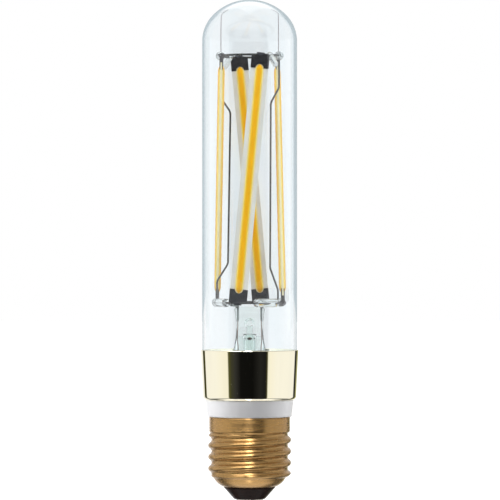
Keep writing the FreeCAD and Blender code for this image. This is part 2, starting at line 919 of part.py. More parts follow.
def make_capacitor():
    """Electrolytic capacitor that stands along the board, with its two legs."""
    centre = board_front(0, 0, 2 * capacitor_radius)
    foot_z = board_foot_z + capacitor_rise
    top_z = foot_z + capacitor_height
    can = Part.makeCylinder(capacitor_radius, capacitor_height, Vector(0, centre.y, foot_z))
    can = can.makeFillet(capacitor_edge, [can.Edges[0], can.Edges[2]])
    legs = []
    for side in (-1, 1):
        x = side * capacitor_leg_spacing / 2
        board_y = -(board_thickness / 2 + solder_fit)
        points = [
            Vector(x, centre.y, top_z - capacitor_leg_root),
            Vector(x, centre.y, top_z + capacitor_leg_rise),
            Vector(x, board_y, top_z + capacitor_leg_rise),
        ]
        legs.append(wire_along(points, capacitor_leg_radius, capacitor_leg_bend))
    return only_solid(can.fuse(legs))


def make_live_wire():
    """Insulated wire from the board down into the contact's rivet."""
    y = board_thickness / 2 + cap_wire_radius + solder_fit
    x = live_wire_offset
    head_z = thread_z + seat_fit + rivet_head_height
    points = [
        Vector(x, y, board_foot_z + live_wire_overlap),
        Vector(x, y, board_foot_z + live_wire_bend_height),
        Vector(x / 2, y, board_foot_z - live_wire_bend_height),
        Vector(0, 0, head_z + live_wire_bend_height),
        Vector(0, 0, contact_height + seat_fit),
    ]
    return wire_along(points, cap_wire_radius, lead_bend_radius)


def make_neutral_wire():
    """Insulated wire from the board to the inside of the shell's rim."""
    y = board_thickness / 2 + cap_wire_radius + solder_fit
    x = neutral_wire_offset
    touch = rim_radius - shell_wall - metal_fit
    end_z = ring_z - lower_spigot_height - cap_wire_radius - neutral_wire_gap
    points = [
        Vector(x, y, end_z - neutral_wire_overlap),
        Vector(x, y, end_z - neutral_wire_bend_drop),
        polar(touch - neutral_wire_reach, neutral_wire_angle, end_z),
        polar(touch, neutral_wire_angle, end_z),
    ]
    return wire_along(points, cap_wire_radius, lead_bend_radius)


def build():
    lower_wires = {
        "lower_wire_front": ring_arc(lower_ring_radius, lower_ring_z, *LOWER_FRONT_ARC),
        "lower_wire_right": ring_arc(lower_ring_radius, lower_ring_z, *LOWER_RIGHT_ARC),
        "lower_wire_back": ring_arc(lower_ring_radius, lower_ring_z, *LOWER_BACK_ARC),
    }
    upper_wires = {
        "upper_wire_front": ring_arc(upper_ring_radius, upper_ring_z, *UPPER_FRONT_ARC),
        "upper_wire_back": ring_arc(upper_ring_radius, upper_ring_z, *UPPER_BACK_ARC),
    }
    lower = list(lower_wires.values())
    upper = list(upper_wires.values())
    leads = {
        "inner_lead_left": make_inner_lead(-1, LEFT_LEAD_ANGLE, lower),
        "inner_lead_right": make_inner_lead(1, RIGHT_LEAD_ANGLE, lower),
        "seal_lead_left": make_seal_lead(-1),
        "seal_lead_right": make_seal_lead(1),
    }
    supports = {
        "support_wire_right": make_support_wire(RIGHT_SUPPORT_TOP, RIGHT_SUPPORT_FOOT),
        "support_wire_left": make_support_wire(LEFT_SUPPORT_TOP, LEFT_SUPPORT_FOOT),
    }
    braces = {
        "dome_brace_right": make_dome_brace(UPPER_BEAD_ANGLE),
        "dome_brace_left": make_dome_brace(UPPER_BEAD_ANGLE + 180),
    }
    wires = lower + upper + list(supports.values()) + list(braces.values())
    lower_bead_at = polar(lower_ring_radius - lower_bead_inset, lower_bead_angle, lower_ring_z)
    beads = {"lower_bead_right": Part.makeSphere(lower_bead_radius, lower_bead_at)}
    for name, turn in (("right", 0), ("left", 180)):
        at = polar(upper_ring_radius, UPPER_BEAD_ANGLE + turn, upper_ring_z)
        beads["upper_bead_" + name] = Part.makeSphere(upper_bead_radius, at)
        beads["upper_drop_" + name] = make_drop(DROP_ANGLE + turn)
    beads["lower_bridge_left"] = make_bridge(LEFT_BRIDGE)
    beads["lower_bridge_right"] = make_bridge(RIGHT_BRIDGE)

    parts = {}
    parts.update(lower_wires)
    parts.update(upper_wires)
    parts.update(leads)
    parts.update(supports)
    parts.update(braces)
    for name, bead in beads.items():
        parts[name] = only_solid(bead.cut(wires))
    for index, side in enumerate(SIDES):
        for name, shape in make_filament(index, lower, upper).items():
            parts[name + "_" + side] = shape
    parts["glass_bulb"] = make_glass_bulb()
    parts["stem_glass"] = make_stem_glass(list(leads.values()))
    parts["exhaust_tube"] = make_exhaust_tube()
    parts["cement"] = make_cement()
    parts["collar"] = make_collar()
    parts["neck_ring"] = make_neck_ring()
    parts["cap_shell"] = make_cap_shell()
    parts["insulator"] = make_insulator()
    parts["centre_contact"] = make_centre_contact()
    parts["driver_board"] = make_driver_board()
    package_z = board_top_z - package_drop
    rectifier_at = board_back(package_z, rectifier_offset, rectifier_size[1])
    chip_at = board_back(package_z, chip_offset, chip_package_size[1])
    parts["rectifier"] = make_package(rectifier_at, rectifier_size, -1)
    parts["driver_chip"] = make_package(chip_at, chip_package_size, -1)
    parts["capacitor"] = make_capacitor()
    parts["live_wire"] = make_live_wire()
    parts["neutral_wire"] = make_neutral_wire()
    return parts


def main():
    os.makedirs("parts", exist_ok=True)
    for name, shape in build().items():
        shape.exportStep("parts/" + name + ".step")


if __name__ == "__main__":
    main()
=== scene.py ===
"""Looks of a tubular LED filament lamp: clear tube, polished collar, brass screw cap."""

import json
import math

import bmesh
import bpy
from mathutils import Matrix, Vector


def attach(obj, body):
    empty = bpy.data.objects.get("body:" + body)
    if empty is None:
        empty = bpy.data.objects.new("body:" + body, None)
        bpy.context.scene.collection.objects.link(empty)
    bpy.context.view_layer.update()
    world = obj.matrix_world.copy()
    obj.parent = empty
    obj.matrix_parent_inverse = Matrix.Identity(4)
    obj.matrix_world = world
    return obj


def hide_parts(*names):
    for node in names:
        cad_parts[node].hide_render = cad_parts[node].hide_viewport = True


MM = 0.001

# Heights above the lamp's foot, in millimetres as all lengths here
SHELL_Z = 4.9
THREAD_Z = 7.6
RIM_Z = 22.45
RING_Z = 27.0
COLLAR_Z = 32.35
COLLAR_TOP_Z = 48.2
TUBE_TOP_Z = 158.9
NECK_END_Z = 36.4
LOWER_RING_Z = 63.1
UPPER_RING_Z = 141.1

# Glass tube
TUBE_RADIUS = 15.0
TUBE_WALL = 0.95
CROWN_RADIUS = 16.3
KNUCKLE_RADIUS = 11.85
NECK_RADIUS = 11.9
SHOULDER_RADIUS = 3.0
SHOULDER_BELOW_COLLAR = 0.35

# Collar and neck ring
COLLAR_HEIGHT = 15.85
COLLAR_TOP_RADIUS = 15.47
COLLAR_FOOT_RADIUS = 14.7
COLLAR_CORNER_RADIUS = 1.1
COLLAR_WALL = 0.4
RING_TOP_RADIUS = 13.9
RING_FOOT_RADIUS = 13.3
RING_FOOT_BEVEL = 0.3
RING_SOFTENING = 0.18
RING_BORE_RADIUS = 11.0
UPPER_SPIGOT_RADIUS = 13.5
UPPER_SPIGOT_HEIGHT = 4.0
LOWER_SPIGOT_HEIGHT = 3.0

# Screw shell
CAP_HOLE_RADIUS = 8.15
CURL_TOP_RADIUS = 11.3
CURL_ARC_RADIUS = 5.6
THREAD_LENGTH = 14.85
THREAD_PITCH = 3.629
THREAD_CREST_RADIUS = 13.1
THREAD_ROOT_RADIUS = 12.05
THREAD_START_ANGLE = 236.0
THREAD_FADE = 1.6
THREAD_RUNOUT = 0.7
THREAD_ROWS = 84
RIM_RADIUS = 12.75
RIM_SOFTENING = 0.12
RIM_EDGE = 0.1
SHELL_WALL = 0.3

# Insulator, which starts above the contact
CONTACT_HEIGHT = 1.0
INSULATOR_BORE_RADIUS = 1.65
INSULATOR_FOOT_RADIUS = 4.9
INSULATOR_FOOT_EDGE = 0.08
INSULATOR_SOFTENING = 0.25
INSULATOR_SHOULDER = 0.75
INSULATOR_SHOULDER_ANGLE = -55.0
INSULATOR_TOP_RADIUS = 10.6
INSULATOR_TOP_EDGE = 0.1

# Filaments
LOWER_RING_RADIUS = 11.0
UPPER_RING_RADIUS = 9.4
LOWER_TURN = -19.5
UPPER_TURN = 21.5
STRIP_WIDTH = 5.4
STRIP_THICKNESS = 0.5
CLIP_LENGTH = 4.3
PHOSPHOR_WIDTH = 2.4
PHOSPHOR_HEIGHT = 0.85
PHOSPHOR_OVERLAP = 1.3
CHIP_COUNT = 24
CHIP_START = 2.0

# Phosphor beads: rows and steps of the mesh, rounded ends, and the swell over each chip
BEAD_ROWS_PER_CHIP = 8
BEAD_STEPS = 14
BEAD_TAPER = 2.0
BEAD_END_POWER = 0.8
BEAD_LEAST = 0.02
BEAD_DIP = 0.05
BEAD_SWELL = 0.04
BEAD_THIN_POWER = 1.6

# Gap between neighbouring pieces
FIT = 0.05

# Angles above which an edge stays sharp, in degrees
PIECE_SHARP_ANGLE = 40.0
NODE_SHARP_ANGLE = 35.0
BEAD_SHARP_ANGLE = 60.0

# Camera, as the photograph's frame holds the lamp
FRAME_PIXELS = 500
MM_PER_PIXEL = 0.3164
CAMERA_DISTANCE = 1200.0
SENSOR_WIDTH = 36.0
AXIS_COLUMN = 249.6
GROUND_ROW = 501.96

# Colour of the room's walls, as parts of white, by azimuth in degrees: 0 is in front and
# 90 on the right. Metal, glass, the tube's edge and matt surfaces each see walls of their own.
WARM = (1.0, 0.98, 0.9)
OLIVE = (0.3, 0.3, 0.15)
METAL_WALLS = [
    (-180, 1.0), (-147, 1.0), (-145.5, (0.05, 0.05, 0.01)), (-133, (0.05, 0.05, 0.01)),
    (-131, 1.0), (-90, 1.02), (-54, WARM), (-52, (0.1, 0.1, 0.03)), (-45, (0.05, 0.05, 0.03)),
    (-35, 0.035), (-22, 0.006), (8, 0.005), (26, 0.018), (40, 0.012), (43.5, (0.07, 0.07, 0.02)),
    (45.5, WARM), (70, 1.03), (135.5, 1.0), (137.5, 0.015), (148, 0.02), (152, OLIVE),
    (164, (0.5, 0.5, 0.28)), (167, WARM), (180, 1.0),
]
GLASS_WALLS = [
    (-180, (0.6, 0.68, 0.72)), (-147, (0.55, 0.63, 0.66)), (-140, 1.5),
    (-54, 1.5), (-50, 0.1), (42, 0.1), (46, 1.5),
    (132, 1.5), (140, (0.52, 0.6, 0.64)), (160, (0.5, 0.57, 0.58)), (180, (0.6, 0.68, 0.72)),
]
EDGE_COLOR = (0.61, 0.68, 0.72)
EDGE_WALLS = [
    (-180, EDGE_COLOR), (-140, EDGE_COLOR), (-130, 0.75), (-58, 0.75), (-50, 0.25), (42, 0.25),
    (50, 0.75), (124, 0.75), (134, EDGE_COLOR), (180, EDGE_COLOR),
]
MATT_WALLS = [
    (-180, 0.7), (-124, 0.7), (-118, 3.5), (-58, 3.5), (-50, 0.6), (-36, 0.4), (-32, 0.03),
    (56, 0.03), (64, 2.8), (110, 2.8), (118, 0.7), (180, 0.7),
]
# Lamps and dark bands that only metal mirrors: azimuths, elevations and level
METAL_LAMPS = [
    (-180, 180, -46, -28, 0.15), (-180, 180, -100, -56, 1.6), (44, 132, 0, 70, 0.55),
    (-54, -20, 2, 60, 3.2), (-13, 5, 5, 70, 12.0), (9, 44, 5, 60, 0.4), (-14, 6, -100, -54, 4.5),
]
LAMP_AZIMUTH_SOFTNESS = 3.0
LAMP_ELEVATION_SOFTNESS = 4.0

# Ceilings: their level, and the elevations over which they take over from the walls
METAL_CEILING = 0.75
METAL_CEILING_BORDER = (-1.0, 11.0)
GLASS_CEILING = 1.5
GLASS_CEILING_BORDER = (24.0, 40.0)
# Azimuths, to either side, over which the view begins to count as straight behind
BEHIND_BORDER = (150.0, 160.0)

# The backdrop as seen through glass, and the light on the matt pieces inside the tube
BACKDROP_LEVEL = 0.96
INSIDE_LEVEL = 2.75

# The floor: half its width and its height in millimetres, its colour, its glow for the camera
FLOOR_REACH = 3000.0
FLOOR_Z = -0.2
FLOOR_COLOR = 0.3
FLOOR_GLOW = 0.85

# Steps of a full turn, and the sides of the lamp in the order of their filaments
SEGMENTS = 160
SIDES = ("front", "right", "back", "left")

# The part of a noise's range that colours and roughness use
NOISE_LOW = 0.3
NOISE_HIGH = 0.7
# How a noise is stretched: not at all, or along a drawn wire
EVEN = (1, 1, 1)
DRAWN = (1, 1, 0.2)


# Mesh helpers

def smooth(mesh, sharp):
    """Smooth shading, with edges above an angle kept sharp."""
    mesh.polygons.foreach_set("use_smooth", [True] * len(mesh.polygons))
    mesh.set_sharp_from_angle(angle=math.radians(sharp))


def make_piece(name, points, faces, sharp=PIECE_SHARP_ANGLE):
    """A smooth-shaded mesh from points in millimetres."""
    mesh = bpy.data.meshes.new(name)
    mesh.from_pydata([Vector(point) * MM for point in points], [], faces)
    mesh.update()
    clean = bmesh.new()
    clean.from_mesh(mesh)
    bmesh.ops.recalc_face_normals(clean, faces=clean.faces)
    clean.to_mesh(mesh)
    clean.free()
    smooth(mesh, sharp)
    piece = bpy.data.objects.new(name, mesh)
    bpy.context.scene.collection.objects.link(piece)
    return piece


def on_arc(centre, radius, degrees):
    turn = math.radians(degrees)
    return (centre[0] + radius * math.cos(turn), centre[1] + radius * math.sin(turn))


def arc(centre, radius, start, end, steps=12):
    """Points of a profile's arc, both ends included."""
    share = [i / steps for i in range(steps + 1)]
    return [on_arc(centre, radius, start + (end - start) * s) for s in share]


def between(start, end, share):
    """The point at a share of the way from start to end."""
    return tuple(a + (b - a) * share for a, b in zip(start, end))


def lathe(name, profile):
    """A closed (r, z) profile turned round the lamp's axis."""
    points = []
    rings = []
    for r, z in profile:
        if r < 1e-6:
            rings.append([len(points)] * SEGMENTS)
            points.append((0, 0, z))
            continue
        rings.append(list(range(len(points), len(points) + SEGMENTS)))
        for i in range(SEGMENTS):
            turn = 2 * math.pi * i / SEGMENTS
            points.append((r * math.cos(turn), r * math.sin(turn), z))
    faces = []
    for lower, upper in zip(rings, rings[1:] + rings[:1]):
        for i in range(SEGMENTS):
            j = (i + 1) % SEGMENTS
            corners = [lower[i], lower[j], upper[j], upper[i]]
            corners = list(dict.fromkeys(corners))
            if len(corners) > 2:
                faces.append(corners)
    return make_piece(name, points, faces)


def stand_for(piece, node, slot, materials):
    """Puts a piece, in the material of its slot, in the place of one CAD node."""
    piece.data.materials.append(materials[slot])
    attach(piece, "root")
    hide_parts(node)


# Materials

def set_stops(node, stops):
    """Gives a colour ramp its positions and colours."""
    stops = list(stops)
    elements = node.color_ramp.elements
    while len(elements) < len(stops):
        elements.new(0.5)
    for element, (at, color) in zip(elements, stops):
        element.position = at
        element.color = (*color, 1.0)


class Shader:
    """A material's node tree, built a node at a time."""

    def __init__(self, name):
        self.material = bpy.data.materials.new(name)
        self.material.use_nodes = True
        self.nodes = self.material.node_tree.nodes
        self.links = self.material.node_tree.links
        self.surface = self.nodes["Principled BSDF"]

    def add(self, kind, **inputs):
        node = self.nodes.new(kind)
        for key, value in inputs.items():
            node.inputs[key.replace("_", " ")].default_value = value
        return node

    def link(self, source, target, out=0):
        self.links.new(source.outputs[out], target)

    def set(self, **inputs):
        for key, value in inputs.items():
            self.surface.inputs[key.replace("_", " ")].default_value = value

    def noise(self, scale, stretch=EVEN, detail=3.0):
        """Object-space noise, with its features stretched along an axis."""
        place = self.nodes.new("ShaderNodeTexCoord")
        mapping = self.nodes.new("ShaderNodeMapping")
        mapping.inputs["Scale"].default_value = stretch
        noise = self.add("ShaderNodeTexNoise", Scale=scale, Detail=detail)
        self.link(place, mapping.inputs["Vector"], "Object")
        self.link(mapping, noise.inputs["Vector"])
        return noise

    def ramp(self, source, stops):
        """A colour ramp that gives the surface its base colour."""
        node = self.nodes.new("ShaderNodeValToRGB")
        set_stops(node, stops)
        self.link(source, node.inputs["Fac"])
        self.link(node, self.surface.inputs["Base Color"])

    def mottle(self, noise, color, spread):
        """A base colour that a noise makes a little darker and lighter."""
        dark = tuple(c * (1 - spread) for c in color)
        light = tuple(min(1.0, c * (1 + spread)) for c in color)
        self.ramp(noise, [(NOISE_LOW, dark), (NOISE_HIGH, light)])

    def roughen(self, noise, roughness, spread):
        """A roughness that a noise makes a little lower and higher."""
        span = self.add("ShaderNodeMapRange")
        span.inputs["From Min"].default_value = NOISE_LOW
        span.inputs["From Max"].default_value = NOISE_HIGH
        span.inputs["To Min"].default_value = roughness * (1 - spread)
        span.inputs["To Max"].default_value = roughness * (1 + spread)
        self.link(noise, span.inputs["Value"])
        self.link(span, self.surface.inputs["Roughness"])

    def bump(self, source, distance, strength):
        node = self.add("ShaderNodeBump", Strength=strength, Distance=distance)
        self.link(source, node.inputs["Height"])
        self.link(node, self.surface.inputs["Normal"])


def glass(name, tint, ior, clearness):
    """Glass whose faint tint wanders in long drawn streaks. Clearness below 1 makes it milky."""
    shader = Shader(name)
    shader.set(Roughness=0.0, IOR=ior, Transmission_Weight=clearness)
    streaks = shader.noise(150.0, (1, 1, 0.15), 2.0)
    deep = tuple(c ** 1.3 for c in tint)
    pale = tuple(c ** 0.7 for c in tint)
    shader.ramp(streaks, [(0.35, deep), (0.65, pale)])
    return shader.material


def metal(name, color, roughness, spread, stretch, grain, relief=0.3, metallic=1.0):
    """Metal whose brightness and roughness wander along its working direction."""
    shader = Shader(name)
    shader.set(Metallic=metallic)
    noise = shader.noise(grain, stretch)
    shader.mottle(noise, color, spread)
    shader.roughen(noise, roughness, 0.25)
    shader.bump(noise, 0.00002, relief)
    return shader.material


def plastic(name, color, roughness, spread, grain, bump, specular=0.5):
    """Moulded or fired surface with a fine mottle."""
    shader = Shader(name)
    shader.surface.inputs["Specular IOR Level"].default_value = specular
    noise = shader.noise(grain)
    shader.mottle(noise, color, spread)
    shader.roughen(noise, roughness, 0.15)
    shader.bump(noise, bump, 0.4)
    return shader.material


def phosphor_material():
    """Yellow silicone: deep over the chips, pale where it thins out at its edges."""
    shader = Shader("phosphor")
    shader.set(Roughness=0.5, Sheen_Weight=1.0, Sheen_Roughness=0.28)
    shader.surface.inputs["Sheen Tint"].default_value = (1.0, 0.94, 0.72, 1.0)
    shader.surface.inputs["Specular IOR Level"].default_value = 0.1
    thin = shader.nodes.new("ShaderNodeAttribute")
    thin.attribute_name = "thin"
    shader.ramp(thin, [
        (0.0, (0.94, 0.45, 0.002)),
        (0.28, (0.94, 0.48, 0.004)),
        (0.5, (0.95, 0.58, 0.04)),
        (0.75, (0.96, 0.72, 0.14)),
        (1.0, (0.96, 0.82, 0.34)),
    ])
    shader.bump(shader.noise(2500.0), 0.00003, 0.4)
    return shader.material


def ceramic(name, index):
    """Pale strip, with a painted yellow glow from the phosphor beside its beads and a painted
    highlight on its very edges.
    """
    place = filament_frame(index)[0]
    shader = Shader(name)
    shader.set(Roughness=0.6)
    tree = shader.material.node_tree
    where = shader.nodes.new("ShaderNodeTexCoord")
    dot = shader.nodes.new("ShaderNodeVectorMath")
    dot.operation = "DOT_PRODUCT"
    shader.link(where, dot.inputs[0], "Object")
    across = place.to_3x3().col[0]
    dot.inputs[1].default_value = across / MM
    middle = across.dot(place.translation)
    from_middle = math_node(tree, "SUBTRACT", dot.outputs["Value"], middle)
    from_middle = math_node(tree, "ABSOLUTE", from_middle, 0)
    share = math_node(tree, "DIVIDE", from_middle, STRIP_WIDTH / 2)
    # The yellow stop beside the beads is painted glow from the phosphor, and the pale-yellow stop
    # at the very edge is a painted highlight
    shader.ramp(share.node, [
        (0.44, (0.86, 0.7, 0.36)),
        (0.62, (0.76, 0.73, 0.67)),
        (0.985, (0.74, 0.73, 0.69)),
        (0.995, (0.93, 0.84, 0.52)),
    ])
    shader.bump(shader.noise(1500.0), 0.00002, 0.4)
    return shader.material


# Glass: tint, refractive index and clearness
GLASSES = {
    "tube_glass": ((0.93, 0.96, 0.975), 1.5, 1.0),
    "stem_glass": ((0.93, 0.97, 0.955), 1.3, 1.0),
    "bead_glass": ((0.92, 0.95, 0.95), 1.5, 0.76),
    "bridge_glass": ((0.91, 0.94, 0.94), 1.5, 0.95),
}

# Metal: colour, roughness, spread of the colour, stretch and scale of the noise. The brass
# also has its relief and how metallic it is: dulled, part mirror and part matt.
METALS = {
    "clip_metal": ((0.07, 0.07, 0.08), 0.4, 0.3, EVEN, 900.0),
    "ring_metal": ((0.09, 0.09, 0.09), 0.3, 0.12, DRAWN, 1500.0),
    "lead_metal": ((0.26, 0.27, 0.27), 0.35, 0.12, DRAWN, 1500.0),
    "seal_wire": ((0.45, 0.31, 0.28), 0.35, 0.12, DRAWN, 1500.0),
    "brace_metal": ((0.5, 0.47, 0.49), 0.35, 0.1, DRAWN, 1500.0),
    "collar_metal": ((0.93, 0.88, 0.7), 0.04, 0.012, (1, 1, 0.1), 400.0),
    "cap_brass": ((0.42, 0.245, 0.085), 0.26, 0.05, (1, 1, 6), 200.0, 0.06, 0.7),
    "contact_metal": ((0.62, 0.58, 0.52), 0.3, 0.06, EVEN, 900.0),
    "capacitor_can": ((0.7, 0.7, 0.72), 0.3, 0.05, DRAWN, 800.0),
}

# Matt pieces: colour, roughness, spread of the colour, scale of the noise, depth of the bump.
# The insulator also has its gloss.
PLASTICS = {
    "chips": ((0.6, 0.7, 0.85), 0.3, 0.04, 3000.0, 0.00001),
    "neck_ring_plastic": ((0.84, 0.84, 0.86), 0.4, 0.01, 600.0, 0.00001),
    "insulator_glass": ((0.018, 0.007, 0.005), 0.3, 0.3, 700.0, 0.00003, 0.05),
    "basing_cement": ((0.68, 0.64, 0.56), 0.85, 0.12, 900.0, 0.0001),
    "board_laminate": ((0.04, 0.2, 0.09), 0.45, 0.12, 1200.0, 0.00002),
    "package_resin": ((0.03, 0.03, 0.03), 0.5, 0.15, 2000.0, 0.00002),
    "live_insulation": ((0.5, 0.05, 0.03), 0.4, 0.06, 900.0, 0.00001),
    "neutral_insulation": ((0.75, 0.75, 0.72), 0.4, 0.04, 900.0, 0.00001),
}


def make_materials():
    """Every material by name, apart from the ceramic, which follows each strip."""
    materials = {"phosphor": phosphor_material()}
    for build, looks in ((glass, GLASSES), (metal, METALS), (plastic, PLASTICS)):
        for name, look in looks.items():
            materials[name] = build(name, *look)
    return materials


# Glass tube

def make_tube(materials):
    """Blown tube with a flattened dome above and a shoulder and neck below."""
    wall = TUBE_WALL
    reach = CROWN_RADIUS - KNUCKLE_RADIUS
    knuckle_r = TUBE_RADIUS - KNUCKLE_RADIUS
    crown = (0, TUBE_TOP_Z - CROWN_RADIUS)
    rise = math.sqrt(reach ** 2 - knuckle_r ** 2)
    knuckle = (knuckle_r, crown[1] + rise)
    meet = math.degrees(math.atan2(rise, knuckle_r))
    narrowing = TUBE_RADIUS - NECK_RADIUS
    swing = math.degrees(math.acos(1 - narrowing / (2 * SHOULDER_RADIUS)))
    upper = (TUBE_RADIUS - SHOULDER_RADIUS, COLLAR_TOP_Z - SHOULDER_BELOW_COLLAR)
    drop = 2 * SHOULDER_RADIUS * math.sin(math.radians(swing))
    lower = (NECK_RADIUS + SHOULDER_RADIUS, upper[1] - drop)
    steps = 24
    outside = [(NECK_RADIUS, NECK_END_Z)]
    outside += arc(lower, SHOULDER_RADIUS, 180, 180 - swing, steps)
    outside += arc(upper, SHOULDER_RADIUS, -swing, 0, steps)[1:]
    outside += arc(knuckle, KNUCKLE_RADIUS, 0, meet, steps)
    outside += arc(crown, CROWN_RADIUS, meet, 90, steps)[1:]
    inside = arc(crown, CROWN_RADIUS - wall, 90, meet, steps)
    inside += arc(knuckle, KNUCKLE_RADIUS - wall, meet, 0, steps)[1:]
    inside += arc(upper, SHOULDER_RADIUS - wall, 0, -swing, steps)
    inside += arc(lower, SHOULDER_RADIUS + wall, 180 - swing, 180, steps)[1:]
    inside += [(NECK_RADIUS - wall, NECK_END_Z)]
    tube = lathe("tube", outside + inside)
    stand_for(tube, "glass_bulb", "tube_glass", materials)


# Collar and neck ring

def collar_radius(z):
    share = (z - COLLAR_Z) / COLLAR_HEIGHT
    return COLLAR_FOOT_RADIUS + (COLLAR_TOP_RADIUS - COLLAR_FOOT_RADIUS) * share


def make_collar(materials):
    """Polished cup with a soft rim and a rounded, turned-in foot."""
    foot_z = COLLAR_Z + FIT
    corner = COLLAR_CORNER_RADIUS
    outer = collar_radius(foot_z + corner)
    centre = (outer - corner, foot_z + corner)
    lip = UPPER_SPIGOT_RADIUS + FIT
    rim = COLLAR_WALL / 2
    rim_centre = (COLLAR_TOP_RADIUS - rim, COLLAR_TOP_Z - rim)
    foot_end = (outer, centre[1])
    rim_start = (COLLAR_TOP_RADIUS, rim_centre[1])
    straight = (0.01, 0.5, 0.99)
    profile = [(lip, foot_z)]
    profile += arc(centre, corner, -90, 0, 16)
    profile += [between(foot_end, rim_start, share) for share in straight]
    profile += arc(rim_centre, rim, 0, 180, 10)
    profile += arc(centre, corner - COLLAR_WALL, 0, -90, 10)
    profile += [(lip, foot_z + COLLAR_WALL)]
    collar = lathe("collar_cup", profile)
    stand_for(collar, "collar", "collar_metal", materials)


def make_neck_ring(materials):
    """White moulding with rounded edges above and below."""
    lower_radius = RIM_RADIUS - SHELL_WALL - FIT
    foot_z = RING_Z + FIT
    soft = RING_SOFTENING
    top = (RING_TOP_RADIUS - soft, COLLAR_Z - soft)
    bevel = RING_FOOT_BEVEL
    profile = [
        (RING_BORE_RADIUS, RING_Z - LOWER_SPIGOT_HEIGHT),
        (lower_radius, RING_Z - LOWER_SPIGOT_HEIGHT),
        (lower_radius, foot_z),
        (RING_FOOT_RADIUS - bevel, foot_z),
    ]
    profile += arc((RING_FOOT_RADIUS - bevel, foot_z + bevel), bevel, -90, 0, 6)[1:]
    profile += arc(top, soft, 0, 90, 6)
    profile += [
        (UPPER_SPIGOT_RADIUS, COLLAR_Z),
        (UPPER_SPIGOT_RADIUS, COLLAR_Z + UPPER_SPIGOT_HEIGHT),
        (RING_BORE_RADIUS, COLLAR_Z + UPPER_SPIGOT_HEIGHT),
    ]
    ring = lathe("neck_moulding", profile)
    stand_for(ring, "neck_ring", "neck_ring_plastic", materials)


# Screw cap

def ease(share):
    """A soft rise from 0 to 1."""
    share = min(max(share, 0.0), 1.0)
    return share * share * (3 - 2 * share)


def thread_radius(angle, height):
    """Radius of the rolled thread at an angle and a height above its foot."""
    base = THREAD_ROOT_RADIUS
    base += (CURL_TOP_RADIUS - THREAD_ROOT_RADIUS) * (1 - ease(height / THREAD_RUNOUT))
    below_rim = THREAD_LENGTH - height
    base += (RIM_RADIUS - THREAD_ROOT_RADIUS) * (1 - ease(below_rim / THREAD_RUNOUT))
    turns = height / THREAD_PITCH - (angle - THREAD_START_ANGLE) / 360
    away = abs(turns - round(turns)) * THREAD_PITCH
    depth = THREAD_CREST_RADIUS - THREAD_ROOT_RADIUS
    quarter = THREAD_PITCH / 4
    knuckle = (depth ** 2 / 4 + quarter ** 2) / depth
    if away < quarter:
        rise = depth - knuckle + math.sqrt(knuckle ** 2 - away ** 2)
    else:
        rise = knuckle - math.sqrt(knuckle ** 2 - (2 * quarter - away) ** 2)
    return base + rise * ease(height / THREAD_FADE) * ease(below_rim / THREAD_FADE)


def shell_profile(angle, offset):
    """The shell's skin at one angle, from its foot to its rim."""
    start = (CURL_TOP_RADIUS, THREAD_Z)
    end = (CAP_HOLE_RADIUS, SHELL_Z)
    half = math.dist(start, end) / 2
    reach = math.sqrt(CURL_ARC_RADIUS ** 2 - half ** 2)
    inward = ((end[1] - start[1]) / (2 * half), (start[0] - end[0]) / (2 * half))
    centre = (
        (start[0] + end[0]) / 2 + inward[0] * reach,
        (start[1] + end[1]) / 2 + inward[1] * reach,
    )
    first = math.degrees(math.atan2(end[1] - centre[1], end[0] - centre[0]))
    last = math.degrees(math.atan2(start[1] - centre[1], start[0] - centre[0]))
    points = arc(centre, CURL_ARC_RADIUS - offset, first, last)
    for row in range(1, THREAD_ROWS):
        height = THREAD_LENGTH * row / THREAD_ROWS
        points.append((thread_radius(angle, height) - offset, THREAD_Z + height))
    soft = RIM_SOFTENING
    for z in (RIM_Z, RIM_Z + 2 * soft, RING_Z - 3 * soft, RING_Z - soft):
        points.append((RIM_RADIUS - offset, z))
    return points


def make_shell(materials):
    """Brass shell: one thin wall with its rolled thread and curled-in foot."""
    outer = []
    inner = []
    for column in range(SEGMENTS):
        angle = 360 * column / SEGMENTS
        turn = math.radians(angle)
        for line, offset in ((outer, 0), (inner, SHELL_WALL)):
            profile = shell_profile(angle, offset)
            if not offset:
                profile.append((RIM_RADIUS - RIM_EDGE, RING_Z))
            line.append([(r * math.cos(turn), r * math.sin(turn), z) for r, z in profile])
    loops = [o + i[::-1] for o, i in zip(outer, inner)]
    rows = len(loops[0])
    points = [point for loop in loops for point in loop]
    faces = []
    for column in range(SEGMENTS):
        here = column * rows
        there = (column + 1) % SEGMENTS * rows
        for row in range(rows):
            after = (row + 1) % rows
            faces.append((here + row, there + row, there + after, here + after))
    shell = make_piece("screw_shell", points, faces)
    stand_for(shell, "cap_shell", "cap_brass", materials)


def make_insulator(materials):
    """Black glass cone below the shell, with softened edges."""
    waist = CAP_HOLE_RADIUS - FIT
    shoulder = INSULATOR_SHOULDER
    soft = INSULATOR_SOFTENING
    foot = INSULATOR_FOOT_RADIUS
    foot_z = CONTACT_HEIGHT
    slope = math.atan2(SHELL_Z - shoulder - foot_z, waist - shoulder - foot)
    bend = (waist - shoulder, SHELL_Z)
    profile = [
        (INSULATOR_BORE_RADIUS, foot_z),
        (foot - soft, foot_z),
        (foot, foot_z + INSULATOR_FOOT_EDGE),
        (foot + soft * math.cos(slope), foot_z + soft * math.sin(slope)),
    ]
    profile += arc(bend, shoulder, INSULATOR_SHOULDER_ANGLE, 0, 8)
    profile += [
        (waist, SHELL_Z + SHELL_WALL + FIT),
        (INSULATOR_TOP_RADIUS, THREAD_Z - INSULATOR_TOP_EDGE),
        (INSULATOR_BORE_RADIUS, THREAD_Z),
    ]
    cone = lathe("insulator_cone", profile)
    stand_for(cone, "insulator", "insulator_glass", materials)


# Filaments

def ring_point(radius, degrees, z):
    turn = math.radians(degrees)
    return Vector((radius * math.cos(turn), radius * math.sin(turn), z))


